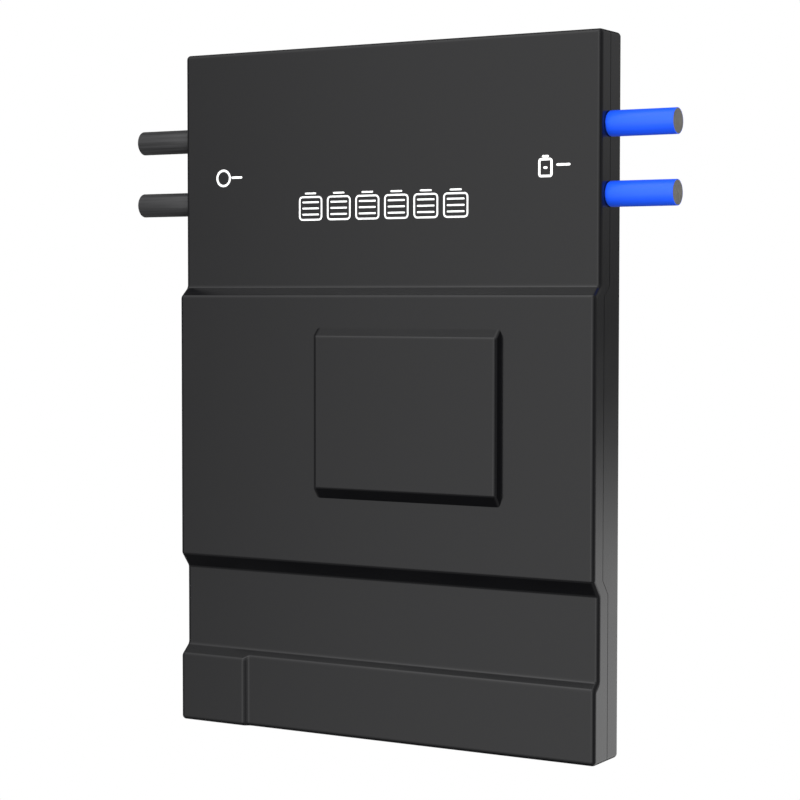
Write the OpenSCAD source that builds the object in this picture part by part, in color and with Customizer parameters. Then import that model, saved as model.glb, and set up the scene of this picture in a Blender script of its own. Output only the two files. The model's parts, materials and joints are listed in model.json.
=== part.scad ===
// Protection board for a lithium battery pack, in a flat stepped case that lies on its back.
// Origin in the middle of the rear face. +Z points out of the front, +Y to the lead end and
// +X to the side of the cell leads. Millimetres.

/* [Case] */
// Length of the case
case_l = 154.4; // [146:0.2:175]
// Width of the case
case_w = 106; // [101.5:0.5:125]
// Thickness of the side and end walls
wall = 2; // [1.8:0.1:2.4]
// Thickness of the front face
face_t = 1.6; // [1.3:0.1:1.7]
// Thickness of the rear floor
floor_t = 1.6; // [1.4:0.1:1.8]
// Rounding of the outer edges
edge_r = 0.9; // [0.3:0.1:1]
// Rounding of the edges of the steps
step_r = 1.2; // [0.4:0.1:1.3]

/* [Front steps] */
// Height of the front over the leads
lead_face_z = 10; // [9.9:0.1:11]
// Height of the front over the power stage
mid_face_z = 12.6; // [12:0.1:14]
// Height of the front below the power stage
low_face_z = 10; // [9.5:0.1:11]
// Height of the front over the sockets
end_face_z = 11.9; // [11.8:0.1:13]
// Height of the raised corner block
corner_face_z = 12.65; // [12.6:0.05:14]
// Length of the lead section, from the end to the first step
lead_section_l = 53.5; // [52:0.1:58]
// Run of the first step's slope
rise_run = 2.2; // [1.5:0.1:3]
// Run of the second step's slope
fall_run = 3.25; // [2:0.05:4]
// Length of the low section, between its two slopes
low_section_l = 18; // [16:0.5:22]
// Run of the last step's slope for each millimetre of its rise
end_slope = 0.88; // [0.6:0.02:1.1]
// Length of the socket section, from the end to its slope
end_section_l = 16.05; // [15:0.05:20]
// Width of the raised corner block
corner_w = 16.9; // [16.9:0.1:24]
// Run of the corner block's side slope
corner_run = 2; // [0.6:0.1:2.4]

/* [Raised pad] */
// Width of the pad
pad_w = 46.3; // [46:0.1:54]
// Length of the pad at its foot
pad_l = 38.05; // [37.6:0.05:42]
// Height of the pad over the front
pad_h = 1.9; // [1.8:0.1:3.5]
// Rounding of the pad's corners, seen from the front
pad_corner_r = 1; // [0.6:0.1:2]
// Run of the slope at the pad's lead end
pad_lead_run = 2; // [1:0.1:2.4]
// Run of the slope at the pad's socket end
pad_socket_run = 2.45; // [1:0.05:2.6]
// Offset of the pad from the middle of the case, across
pad_x = 7.75; // [4:0.05:12]
// Offset of the pad from the middle of its section, towards the leads
pad_y = 3.85; // [2:0.05:5]

/* [Seam] */
// Height of the seam on the lower sections, level with the leads
seam_low_z = 5.5; // [5.4:0.1:5.8]
// Height of the seam on the raised section
seam_mid_z = 8.1; // [7:0.1:8.6]
// Height of the shadow gap along the seam
seam_gap = 0.2; // [0.1:0.05:0.5]
// Depth of the shadow gap
seam_depth = 0.5; // [0.3:0.1:0.6]
// Thickness of the locating lip
lip_t = 0.7; // [0.5:0.1:0.8]
// Height of the locating lip
lip_h = 1.2; // [0.8:0.1:1.6]
// Clearance around the locating lip
lip_gap = 0.1; // [0.05:0.05:0.2]

/* [Leads] */
// Outer diameter of a lead
lead_d = 5.5; // [5:0.1:5.5]
// Thickness of a lead's insulation
insulation_t = 0.45; // [0.4:0.05:0.9]
// Length of a lead outside the case
lead_stub = 15.25; // [10:0.25:25]
// Distance of the outer lead's axis from the end of the case
lead_from_end = 19.5; // [18.5:0.1:21]
// Distance between the two leads of a side
lead_pitch = 14.7; // [13:0.1:16]
// Depth to which the case nips a lead's insulation
lead_nip = 0.2; // [0.2:0.05:0.3]
// Clearance around a nipped lead in its holes
lead_gap = 0.05; // [0.02:0.01:0.1]
// Length of a lead's insulation inside the wall
lead_inside = 5.5; // [5:0.1:7]
// Length of the flattened end of a conductor
tail_l = 8; // [6:0.5:9]
// Height of the flattened end of a conductor
tail_h = 2.6; // [2.2:0.1:2.8]

/* [Board] */
// Thickness of the circuit board
board_t = 1.6; // [1:0.2:1.6]
// Height of the board over the floor
board_lift = 0.7; // [0.6:0.1:0.8]
// Clearance between the board and the walls
board_gap = 0.4; // [0.3:0.1:0.6]
// Thickness of the copper strips
strip_t = 0.8; // [0.5:0.1:0.9]
// Width of the copper strips
strip_w = 7.2; // [5:0.1:8]

/* [Power stage] */
// Transistors in each of the two rows
row_count = 4; // [2:1:4]
// Height of a transistor
fet_h = 4.4; // [4:0.1:4.6]
// Thickness of the two soft heat pads
soft_pad_t = 0.5; // [0.3:0.1:0.8]
// Clearance between the heat spreader and the cover
spreader_gap = 0.35; // [0.2:0.05:0.6]
// Number of shunt resistors
shunt_count = 4; // [1:1:4]

/* [Cells] */
// Cells in series: a bleed resistor for each one
cell_count = 16; // [8:2:16]

/* [Sockets] */
// Pitch of the sensing socket's pins
sense_pitch = 2; // [1.5:0.1:2]
// Height of the sensing socket
sense_h = 6; // [5.8:0.1:6]
// Pins of the signal socket
signal_count = 4; // [2:1:4]
// Pitch of the signal socket's pins
signal_pitch = 2.5; // [2:0.1:2.5]
// Height of the signal socket
signal_h = 6.7; // [6:0.1:6.7]
// Offset of the sensing socket from the middle of the case, across
sense_x = 8; // [2:0.5:14]
// Clearance around a socket in the case
socket_gap = 0.2; // [0.1:0.05:0.25]

/* [Screws] */
// Diameter of the case screws
screw_d = 2.5; // [2:0.1:3]
// Length of the case screws under the head
screw_l = 6; // [5:0.5:6]
// Distance of the screws from the sides of the case
screw_side = 6.25; // [6:0.05:8]
// Distance of the upper screws from the lead end
screw_lead_end = 6.5; // [6:0.1:8]
// Distance of the lower screws from the socket end
screw_socket_end = 27; // [26:0.5:30]

/* [Hidden] */
$fn = 48;
case_colour = "#2b2b2d";
strip_colour = "#c9c4ba";
socket_colour = "#e4dfd0";
// Small overlap that joins solids, and overshoot of cuts
eps = 0.01;
past = 1;
// Flats in each rounded edge, and in the roll beside the corner block
arc_steps = 6;
corner_steps = 12;
sense_count = cell_count + 1;
fet_count = 2 * row_count;

// Heights of the layers
board_z = floor_t + board_lift;
top_z = board_z + board_t;
strip_z = top_z + strip_t;
pad_top_z = mid_face_z + pad_h;

// Places of the steps along the case
half_l = case_l / 2;
half_w = case_w / 2;
rise_y0 = half_l - lead_section_l;
rise_y1 = rise_y0 - rise_run;
end_y0 = end_section_l - half_l;
end_foot_y = end_y0 + end_slope * (end_face_z - low_face_z);
fall_y1 = end_foot_y + low_section_l;
fall_y0 = fall_y1 + fall_run;
corner_y = end_foot_y - end_slope * (corner_face_z - low_face_z);
pad_mid_y = (rise_y1 + fall_y0) / 2 + pad_y;
corner_x = corner_w - half_w;

// Places of the leads
lead_ys = [half_l - lead_from_end, half_l - lead_from_end - lead_pitch];
lead_end_x = half_w + lead_stub;
core_d = lead_d - 2 * insulation_t;
nip_d = lead_d - 2 * lead_nip;
nip_out = 0.2;
nip_x = half_w + nip_out;
jacket_x = half_w - wall - lead_inside;
rib_t = 1.5;
rib_x = half_w - wall - lead_inside / 2 - rib_t / 2;
rib_reach = 1.5;
core_bare = 1.2;
tail_x = jacket_x - core_bare;
tail_w = PI * pow(core_d / 2, 2) / tail_h;
board_notch_x = tail_x - board_gap;
strip_inset = 1;
strip_x = tail_x - tail_l / 2 - strip_inset;

// Transistor package
fet_w = 10.2;
fet_l = 15;
fet_body_l = 8.9;
fet_tab_l = 1.3;
fet_tab_t = 1.3;
fet_tab_in = 0.3;
fet_pin_x = 2.54;
fet_pin_w = 0.8;
fet_pin_t = 0.5;
fet_gap = 0.4;
row_gap = 1.2;
fet_pitch = fet_w + fet_gap;
rows_w = row_count * fet_pitch - fet_gap;
row_y = fet_l + row_gap / 2;

// Heat spreader, which fills the pocket under the raised pad
pocket_w = pad_w - 2 * face_t;
spreader_w = pocket_w - 2 * spreader_gap;
spreader_z0 = top_z + fet_h + soft_pad_t;
spreader_z1 = pad_top_z - face_t - soft_pad_t;
pocket_y0 = pad_mid_y - pad_l / 2 + pad_socket_run;
pocket_y1 = pad_mid_y + pad_l / 2 - pad_lead_run;
spreader_l = pocket_y1 - pocket_y0 - 2 * spreader_gap;
spreader_y = (pocket_y0 + pocket_y1) / 2;

// Copper strips beside the transistor rows
solder_gap = 0.5;
link_y0 = spreader_y + row_y + solder_gap;
link_l = 8;
shunt_l = 10;
shunt_w = 6;
shunt_t = 0.8;
shunt_seat = 2.4;
cell_y0 = link_y0 + link_l + shunt_l - 2 * shunt_seat;
load_y1 = spreader_y - row_y - solder_gap;

// Sockets
shell_t = 0.8;
socket_back = 1.5;
socket_l = 10;
mouth_sink = 0.2;
socket_mouth_y = mouth_sink - half_l;
pin_s = 0.5;
pin_reach = 3.8;
pin_tail = 1.4;
pin_margin = 2;
sense_w = (sense_count - 1) * sense_pitch + 2 * (pin_margin + shell_t);
signal_w = (signal_count - 1) * signal_pitch + 2 * (pin_margin + shell_t);
signal_x = (corner_x - half_w + wall) / 2;

// Screws
head_d = 4.6;
head_h = 1.4;
head_gap = 0.2;
head_sink = 0.1;
thread_gap = 0.02;
screw_end_gap = 0.3;
recess_w = 0.7;
recess_l = 3;
recess_h = 0.9;
boss_d = 6;
boss_x = screw_side + boss_d / 2 - half_w;
head_z = head_sink + head_h;
screw_places = [for (x = [-1, 1], y = [half_l - screw_lead_end, screw_socket_end - half_l])
    [x * (half_w - screw_side), y]];

// Small parts on the board
bleed_size = [3.2, 6.4, 0.7];
bleed_pitch = [5.2, 7.4];
bleed_columns = cell_count / 2;
bleed_w = bleed_columns * bleed_pitch[0];
monitor_w = 7;
monitor_pins = 12;
controller_w = 5;
controller_pins = 8;
chip_gap = 5;
chip_y = (fall_y1 + end_foot_y) / 2;
monitor_x = sense_x - bleed_w / 2 - chip_gap - monitor_w / 2;
controller_x = (monitor_x - monitor_w / 2 + boss_x) / 2;
thermistor_size = [1.6, 3.2, 0.9];
thermistor_gap = 1.4;
can_d = 6.3;
can_h = 5.8;
can_foot = 6.6;
can_foot_h = 0.9;
can_pitch = 9;
can_x = (pad_x + pad_w / 2 + half_w - wall) / 2;

function unit(v) = v / norm(v);
function left(v) = [-v[1], v[0]];
function turned(v, a) = [v[0] * cos(a) - v[1] * sin(a), v[0] * sin(a) + v[1] * cos(a)];

// Outline moved inwards: each edge by its own distance, given from its first corner on
function inset(pts, d) = let (n = len(pts)) [for (i = [0 : n - 1])
    let (
        v = pts[i],
        a = left(unit(v - pts[(i + n - 1) % n])),
        b = left(unit(pts[(i + 1) % n] - v)),
        da = d[(i + n - 1) % n],
        db = d[i],
        c = a * b
    ) v + (a * (da - db * c) + b * (db - da * c)) / (1 - c * c)];

// Outline with each corner turned into an arc of its own radius
function soft_outline(pts, radii) = let (n = len(pts)) [for (i = [0 : n - 1])
    let (
        e = unit(pts[i] - pts[(i + n - 1) % n]),
        f = unit(pts[(i + 1) % n] - pts[i]),
        bend = atan2(e[0] * f[1] - e[1] * f[0], e * f),
        start = pts[i] - e * radii[i] * tan(abs(bend) / 2),
        centre = start + left(e) * radii[i] * sign(bend)
    ) for (k = [0 : arc_steps]) centre + turned(start - centre, bend * k / arc_steps)];

// Closed skin through outlines that stand across X, each given as [x, outline]
module skin_along_x(rings) {
    n = len(rings[0][1]);
    m = len(rings);
    points = [for (r = rings) for (p = r[1]) [r[0], p[0], p[1]]];
    sides = [for (j = [0 : m - 2], i = [0 : n - 1])
        [j * n + i, (j + 1) * n + i, (j + 1) * n + (i + 1) % n, j * n + (i + 1) % n]];
    caps = [[for (i = [0 : n - 1]) i], [for (i = [n - 1 : -1 : 0]) (m - 1) * n + i]];
    polyhedron(points = points, faces = concat(sides, caps), convexity = 6);
}

// Rings that round the two ends of a skin and run on past them: [distance from the end, inset]
end_arc = concat([for (k = [0 : arc_steps]) let (a = 90 * k / arc_steps)
    [edge_r * (1 - sin(a)), edge_r * (1 - cos(a))]], [[-past, edge_r]]);
end_arc_in = [for (k = [len(end_arc) - 1 : -1 : 0]) end_arc[k]];

// Side profile of the case, with the front of the socket section at height z
function case_profile(z) = [
    [-half_l, 0], [half_l, 0], [half_l, lead_face_z], [rise_y0, lead_face_z], [rise_y1, mid_face_z],
    [fall_y0, mid_face_z], [fall_y1, low_face_z], [end_foot_y, low_face_z],
    [end_foot_y - end_slope * (z - low_face_z), z], [-half_l, z]
];
front_edges = 7;
least_r = 0.1;
outer_r = edge_r + least_r;

// That profile moved inwards by d all round: the radii of its outer corners lose d and those of its
// inner corners gain it, so all edges stay parallel
function case_outline(z, d) = let (
        p = case_profile(z),
        end = outer_r - d,
        over = step_r - d,
        under = step_r + d
    ) soft_outline(inset(p, [for (q = p) d]), [end, end, end, under, over, over, under, under, over, end]);

// Rolled side of the corner block: [x, height of the socket section's front]
corner_roll = [for (k = [0 : corner_steps]) let (t = k / corner_steps)
    [corner_x + corner_run * t, corner_face_z + (end_face_z - corner_face_z) * (t - sin(360 * t) / (2 * PI))]];

module case_skin() {
    intersection() {
        skin_along_x(concat(
            [for (e = end_arc_in) [e[0] - half_w, case_outline(corner_face_z, e[1])]],
            [for (c = corner_roll) [c[0], case_outline(c[1], 0)]],
            [for (e = end_arc) [half_w - e[0], case_outline(end_face_z, e[1])]]
        ));
        box([-half_w, -half_l - past, -past], [half_w, half_l + past, pad_top_z + past]);
    }
}

// Side profile of the pad, whose slopes run on down into the front
root_share = 0.85;
pad_root = root_share * face_t / pad_h;
pad_profile = let (y0 = pad_mid_y - pad_l / 2, y1 = pad_mid_y + pad_l / 2) [
    [y0 - pad_root * pad_socket_run, mid_face_z - pad_root * pad_h],
    [y1 + pad_root * pad_lead_run, mid_face_z - pad_root * pad_h],
    [y1 - pad_lead_run, pad_top_z], [y0 + pad_socket_run, pad_top_z]
];

// That profile with its top moved down by d, and its slopes inwards by a share of d
slope_share = 0.4;
function pad_outline(d) = soft_outline(
    inset(pad_profile, [0, slope_share * d, d, slope_share * d]),
    [least_r, least_r, outer_r - d, outer_r - d]);

// Upright block over the pad's foot, with rounded corners
foot_margin = 0.15;
module pad_foot() {
    size = [pad_w, pad_l + 2 * foot_margin] - 2 * pad_corner_r * [1, 1];
    translate([pad_x, pad_mid_y, mid_face_z - face_t]) linear_extrude(face_t + pad_h + past)
        offset(r = pad_corner_r) square(size, center = true);
}

module pad_skin() {
    x0 = pad_x - pad_w / 2;
    x1 = pad_x + pad_w / 2;
    intersection() {
        skin_along_x(concat(
            [for (e = end_arc_in) [x0 + e[0], pad_outline(e[1])]],
            [for (e = end_arc) [x1 - e[0], pad_outline(e[1])]]
        ));
        pad_foot();
    }
}

// Prism with a flat outline in Y and Z, from x0 to x1
module prism_x(x0, x1, outline) {
    translate([x0, 0, 0]) rotate([90, 0, 90]) linear_extrude(x1 - x0) polygon(outline);
}

// Box between two corners
module box(a, b) {
    translate(a) cube(b - a);
}

// Hollow of the case, its pocket under the raised pad and its pocket in the corner block
module hollow() {
    faces = [for (i = [1 : front_edges]) face_t];
    prism_x(wall - half_w, half_w - wall,
        inset(case_profile(end_face_z), concat([floor_t, wall], faces, [wall])));
    prism_x(pad_x - pocket_w / 2, pad_x + pocket_w / 2,
        [[pocket_y0, mid_face_z - 2 * face_t], [pocket_y1, mid_face_z - 2 * face_t],
        [pocket_y1, pad_top_z - face_t], [pocket_y0, pad_top_z - face_t]]);
    box([wall - half_w, wall - half_l, low_face_z - face_t - eps],
        [corner_x, corner_y, corner_face_z - face_t]);
}

// Space over the seam, raised by lift
module over_seam(lift) {
    far = half_l + past;
    high = pad_top_z + past;
    prism_x(-half_w - past, half_w + past, [
        [far, seam_low_z + lift], [far, high], [-far, high], [-far, seam_low_z + lift],
        [fall_y1, seam_low_z + lift], [fall_y0, seam_mid_z + lift],
        [rise_y1, seam_mid_z + lift], [rise_y0, seam_low_z + lift]
    ]);
}

// Space from just under the seam up to lift over it
module seam_band(lift) {
    difference() {
        over_seam(-past);
        over_seam(lift);
    }
}

// Upright block whose sides lie d inside those of the case
module inside_walls(d) {
    box([d - half_w, d - half_l, -past], [half_w - d, half_l - d, pad_top_z + past]);
}

module at_screws() {
    for (p = screw_places) translate([p[0], p[1], 0]) children();
}

module lead_holes() {
    for (y = lead_ys) translate([-half_w - past, y, seam_low_z])
        rotate([0, 90, 0]) cylinder(d = nip_d + 2 * lead_gap, h = case_w + 2 * past);
}

// Openings in the end wall for the two sockets
module socket_holes() {
    g = socket_gap;
    for (s = [[sense_x, sense_w, sense_h], [signal_x, signal_w, signal_h]])
        box([s[0] - s[1] / 2 - g, -half_l - past, top_z - g],
            [s[0] + s[1] / 2 + g, wall - half_l + eps, top_z + s[2] + g]);
}

// Ribs that hold the leads inside the walls, from z0 to z1
module lead_ribs(z0, z1) {
    reach = lead_d / 2 + rib_reach;
    for (x = [-1, 1]) box([x * rib_x - rib_t / 2, lead_ys[1] - reach, z0],
        [x * rib_x + rib_t / 2, lead_ys[0] + reach, z1]);
}

module front_cover() {
    color(case_colour) difference() {
        union() {
            difference() {
                union() {
                    intersection() {
                        case_skin();
                        over_seam(0);
                    }
                    pad_skin();
                }
                hollow();
                difference() {
                    seam_band(seam_gap);
                    inside_walls(seam_depth);
                }
                intersection() {
                    seam_band(lip_h + lip_gap);
                    inside_walls(wall - lip_t - lip_gap);
                }
            }
            lead_ribs(seam_low_z, lead_face_z - face_t / 2);
            for (p = screw_places) translate([p[0], p[1], top_z])
                cylinder(d = boss_d, h = (p[1] > 0 ? lead_face_z : low_face_z) - face_t / 2 - top_z);
        }
        lead_holes();
        socket_holes();
        at_screws() translate([0, 0, top_z - eps])
            cylinder(d = screw_d + 2 * thread_gap, h = head_z + screw_l + screw_end_gap - top_z);
    }
}

module rear_shell() {
    color(case_colour) difference() {
        union() {
            difference() {
                case_skin();
                over_seam(0);
                hollow();
            }
            difference() {
                intersection() {
                    seam_band(lip_h);
                    inside_walls(wall - lip_t);
                }
                inside_walls(wall);
            }
            lead_ribs(floor_t / 2, seam_low_z);
            at_screws() translate([0, 0, floor_t / 2])
                cylinder(d = boss_d, h = board_z - floor_t / 2);
        }
        lead_holes();
        socket_holes();
        at_screws() {
            translate([0, 0, -past]) cylinder(d = head_d + 2 * head_gap, h = head_z + past);
            cylinder(d = screw_d + 2 * head_gap, h = board_z + past);
        }
    }
}

module circuit_board() {
    edge = wall + board_gap;
    reach = lead_d / 2 + rib_reach + board_gap;
    color("darkgreen") difference() {
        box([edge - half_w, edge - half_l, board_z], [half_w - edge, half_l - edge, top_z]);
        for (x = [-1, 1]) translate([x * (board_notch_x + half_w) / 2, 0, 0])
            box([board_notch_x / 2 - half_w / 2, lead_ys[1] - reach, board_z - past],
                [half_w / 2 - board_notch_x / 2, lead_ys[0] + reach, top_z + past]);
        at_screws() translate([0, 0, board_z - past])
            cylinder(d = screw_d + 2 * head_gap, h = board_t + 2 * past);
    }
}

// Switch in a flat package: tab at its inner end, pins at its outer end, which points to +Y
module transistor() {
    bend = fet_l - fet_tab_l - fet_body_l;
    union() {
        box([-fet_w / 2, fet_tab_l, 0], [fet_w / 2, fet_tab_l + fet_body_l, fet_h]);
        box([fet_tab_in - fet_w / 2, 0, 0], [fet_w / 2 - fet_tab_in, fet_tab_l + eps, fet_tab_t]);
        for (x = [-1, 1]) translate([x * fet_pin_x - fet_pin_w / 2, fet_tab_l + fet_body_l, 0]) {
            box([0, -eps, fet_h / 2], [fet_pin_w, bend / 2, fet_h / 2 + fet_pin_t]);
            box([0, bend / 2 - fet_pin_t, 0], [fet_pin_w, bend / 2, fet_h / 2 + fet_pin_t]);
            box([0, bend / 2 - fet_pin_t, 0], [fet_pin_w, bend, fet_pin_t]);
        }
    }
}

module power_transistor(i) {
    column = i % row_count;
    x = pad_x + (column - (row_count - 1) / 2) * fet_pitch;
    color("#242426") translate([x, spreader_y, top_z])
        rotate([0, 0, i < row_count ? 0 : 180])
        translate([0, row_gap / 2, 0]) transistor();
}

// Plate over the transistor rows, from z0 to z1
module row_plate(z0, z1) {
    box([pad_x - spreader_w / 2, spreader_y - spreader_l / 2, z0],
        [pad_x + spreader_w / 2, spreader_y + spreader_l / 2, z1]);
}

module transistor_pad() {
    color("lightgray") row_plate(top_z + fet_h, spreader_z0);
}

module heat_spreader() {
    color("silver") row_plate(spreader_z0, spreader_z1);
}

module cover_pad() {
    color("lightgray") row_plate(spreader_z1, pad_top_z - face_t);
}

// Copper strip down from the leads of one side and across to the power stage
module strip(side, y0, y1, x_end) {
    out_x = side * (strip_x + strip_w / 2);
    in_x = side * (strip_x - strip_w / 2);
    reach = lead_ys[0] + tail_w / 2 + strip_inset;
    color(strip_colour) union() {
        box([min(out_x, in_x), y0, top_z], [max(out_x, in_x), reach, strip_z]);
        box([min(out_x, x_end), y0, top_z], [max(out_x, x_end), y1, strip_z]);
    }
}

module load_strip() {
    strip(-1, load_y1 - strip_w, load_y1, pad_x + rows_w / 2);
}

module cell_strip() {
    strip(1, cell_y0, cell_y0 + strip_w, pad_x - rows_w / 2);
}

module link_strip() {
    color(strip_colour) box([pad_x - rows_w / 2, link_y0, top_z],
        [pad_x + rows_w / 2, link_y0 + link_l, strip_z]);
}

module shunt_resistor(i) {
    pitch = rows_w / shunt_count;
    x = pad_x - rows_w / 2 + (i + 0.5) * pitch;
    y = link_y0 + link_l - shunt_seat;
    color("#8c7f70") box([x - shunt_w / 2, y, strip_z], [x + shunt_w / 2, y + shunt_l, strip_z + shunt_t]);
}

// Flat chip with a row of bent pins on each of its four sides
module chip(side, pins) {
    body_z = [0.1, 1.4];
    pin_w = 0.25;
    pin_t = 0.15;
    pin_pitch = 0.5;
    pin_out = 0.3;
    shoulder_z = 0.75;
    foot_l = 0.7;
    edge = side / 2;
    union() {
        box([-edge, -edge, body_z[0]], [edge, edge, body_z[1]]);
        for (turn = [0 : 3], k = [0 : pins - 1]) rotate([0, 0, 90 * turn])
            translate([(k - (pins - 1) / 2) * pin_pitch - pin_w / 2, edge, 0]) {
                box([0, -eps, shoulder_z - pin_t], [pin_w, pin_out, shoulder_z]);
                box([0, pin_out - pin_t, 0], [pin_w, pin_out, shoulder_z]);
                box([0, pin_out - pin_t, 0], [pin_w, pin_out + foot_l, pin_t]);
            }
    }
}

module monitor_chip() {
    color("#202022") translate([monitor_x, chip_y, top_z]) chip(monitor_w, monitor_pins);
}

module controller_chip() {
    color("#202022") translate([controller_x, chip_y, top_z]) chip(controller_w, controller_pins);
}

// Block that stands on the board, with its foot's middle at x and y
module on_board(x, y, size) {
    translate([x - size[0] / 2, y - size[1] / 2, top_z]) cube(size);
}

// Balancing resistors in two rows beside the sensing socket
module bleed_resistor(i) {
    x = sense_x + (i % bleed_columns - (bleed_columns - 1) / 2) * bleed_pitch[0];
    y = chip_y + (floor(i / bleed_columns) - 0.5) * bleed_pitch[1];
    color("#3a3a3c") on_board(x, y, bleed_size);
}

module thermistor() {
    x = pad_x + rows_w / 2 + thermistor_gap + thermistor_size[0] / 2;
    color("#5b4a3c") on_board(x, spreader_y, thermistor_size);
}

module smoothing_capacitor(i) {
    y = spreader_y + (i - 0.5) * can_pitch;
    color("silver") union() {
        on_board(can_x, y, [can_foot, can_foot, can_foot_h]);
        translate([can_x, y, top_z]) cylinder(d = can_d, h = can_h);
    }
}

// Pins of a socket: a straight pin through the back wall, with its tail bent down to the board
module pin_row(x0, count, pitch, height) {
    mid = top_z + height / 2;
    back_y = socket_mouth_y + socket_l;
    h = pin_s / 2;
    color("gold") for (k = [0 : count - 1]) translate([x0 + (k - (count - 1) / 2) * pitch, 0, 0]) union() {
        box([-h, back_y - socket_back - pin_reach, mid - h], [h, back_y + pin_tail, mid + h]);
        box([-h, back_y + pin_tail - pin_s, top_z], [h, back_y + pin_tail, mid + h]);
    }
}

// Socket shell with its mouth in the end wall, drilled for the pins
module socket_shell(x0, width, height) {
    y0 = socket_mouth_y;
    t = shell_t;
    box_in = [x0 - width / 2, y0, top_z];
    box_out = [x0 + width / 2, y0 + socket_l, top_z + height];
    difference() {
        box(box_in, box_out);
        box(box_in + [t, -past, t], box_out - [t, socket_back, t]);
        children();
    }
}

module sense_socket() {
    color(socket_colour) socket_shell(sense_x, sense_w, sense_h) sense_pins();
}

module sense_pins() {
    pin_row(sense_x, sense_count, sense_pitch, sense_h);
}

module signal_socket() {
    color(socket_colour) socket_shell(signal_x, signal_w, signal_h) signal_pins();
}

module signal_pins() {
    pin_row(signal_x, signal_count, signal_pitch, signal_h);
}

// Round bar along X between two places, given from the middle of the case outwards
module lead_bar(side, y, d, from_x, to_x) {
    translate([side * from_x, y, seam_low_z]) rotate([0, side * 90, 0]) cylinder(d = d, h = to_x - from_x);
}

// Insulation of one lead, nipped where the case holds it
module lead_jacket(side, y) {
    difference() {
        union() {
            lead_bar(side, y, nip_d, jacket_x, nip_x + eps);
            lead_bar(side, y, lead_d, nip_x, lead_end_x);
        }
        lead_bar(side, y, core_d, jacket_x - past, lead_end_x + past);
    }
}

// Stranded conductor of one lead, flattened where it is soldered to its strip
module lead_core(side, y) {
    color("#9a9a9c") union() {
        lead_bar(side, y, core_d, tail_x, lead_end_x);
        box([min(side * (tail_x + eps), side * (tail_x - tail_l)), y - tail_w / 2, strip_z],
            [max(side * (tail_x + eps), side * (tail_x - tail_l)), y + tail_w / 2, strip_z + tail_h]);
    }
}

module cell_lead(i) {
    color("#1c50e6") lead_jacket(1, lead_ys[i]);
}

module cell_core(i) {
    lead_core(1, lead_ys[i]);
}

module load_lead(i) {
    color("#2a2a2c") lead_jacket(-1, lead_ys[i]);
}

module load_core(i) {
    lead_core(-1, lead_ys[i]);
}

// Self tapping screws from the rear, with a cross recess in the head
module case_screws() {
    color("dimgray") at_screws() difference() {
        union() {
            translate([0, 0, head_sink]) cylinder(d = head_d, h = head_h);
            translate([0, 0, head_z - eps]) cylinder(d = screw_d, h = screw_l + eps);
        }
        for (turn = [0, 90]) rotate([0, 0, turn])
            box([-recess_l / 2, -recess_w / 2, head_sink - past],
                [recess_l / 2, recess_w / 2, head_sink + recess_h]);
    }
}

function numbered(name, count) = [for (i = [1 : count]) str(name, "_", i)];

front_cover();
rear_shell();
circuit_board();
for (i = [0 : fet_count - 1])
    power_transistor(i);
transistor_pad();
heat_spreader();
cover_pad();
load_strip();
cell_strip();
link_strip();
for (i = [0 : shunt_count - 1])
    shunt_resistor(i);
monitor_chip();
controller_chip();
for (i = [0 : cell_count - 1])
    bleed_resistor(i);
thermistor();
for (i = [0 : 1])
    smoothing_capacitor(i);
sense_socket();
sense_pins();
signal_socket();
signal_pins();
for (i = [0 : 1]) {
    cell_lead(i);
    cell_core(i);
    load_lead(i);
    load_core(i);
}
case_screws();
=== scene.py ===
"""Dresses the packed battery protection board: its case, print, leads, fixings, inner parts and studio."""

import json
import math

import bmesh
import bpy
import numpy as np
from mathutils import Euler, Matrix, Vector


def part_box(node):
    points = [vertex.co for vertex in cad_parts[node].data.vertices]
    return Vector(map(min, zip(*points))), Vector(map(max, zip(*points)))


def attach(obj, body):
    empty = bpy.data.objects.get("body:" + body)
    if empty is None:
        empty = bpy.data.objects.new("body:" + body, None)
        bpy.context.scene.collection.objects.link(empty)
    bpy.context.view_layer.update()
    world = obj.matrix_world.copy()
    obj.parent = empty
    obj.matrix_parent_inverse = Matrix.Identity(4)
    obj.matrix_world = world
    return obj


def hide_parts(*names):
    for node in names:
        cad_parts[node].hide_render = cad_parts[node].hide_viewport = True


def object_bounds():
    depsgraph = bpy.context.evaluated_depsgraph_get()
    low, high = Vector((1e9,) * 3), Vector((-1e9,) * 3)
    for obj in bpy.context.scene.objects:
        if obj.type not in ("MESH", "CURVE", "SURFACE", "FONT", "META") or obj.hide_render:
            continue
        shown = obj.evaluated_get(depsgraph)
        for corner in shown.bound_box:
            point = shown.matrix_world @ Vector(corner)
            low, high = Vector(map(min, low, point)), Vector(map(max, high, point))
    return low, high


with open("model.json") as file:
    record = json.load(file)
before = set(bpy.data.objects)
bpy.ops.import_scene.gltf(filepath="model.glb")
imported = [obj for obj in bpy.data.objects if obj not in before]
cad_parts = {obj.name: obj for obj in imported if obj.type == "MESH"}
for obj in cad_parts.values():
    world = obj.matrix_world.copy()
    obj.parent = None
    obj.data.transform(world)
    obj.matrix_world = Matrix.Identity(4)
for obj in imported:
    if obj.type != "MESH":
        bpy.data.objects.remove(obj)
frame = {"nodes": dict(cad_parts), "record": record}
CAD_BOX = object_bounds()

bl_info = {
    "name": "Battery Protection Board",
    "version": (1, 1, 0),
    "blender": (4, 5, 0),
    "location": "3D View > Sidebar > Board",
    "description": "Builds the looks of a cased battery protection board around its CAD frame",
    "category": "Object",
}

MM = 0.001
SLOTS = {part["node"]: part["material_slot"] for part in frame["record"]["subparts"]}
# Angle past which two faces meet in a sharp edge, and distance within which points are one, in millimetres
CREASE = math.radians(35)
MERGE = 1e-4


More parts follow.
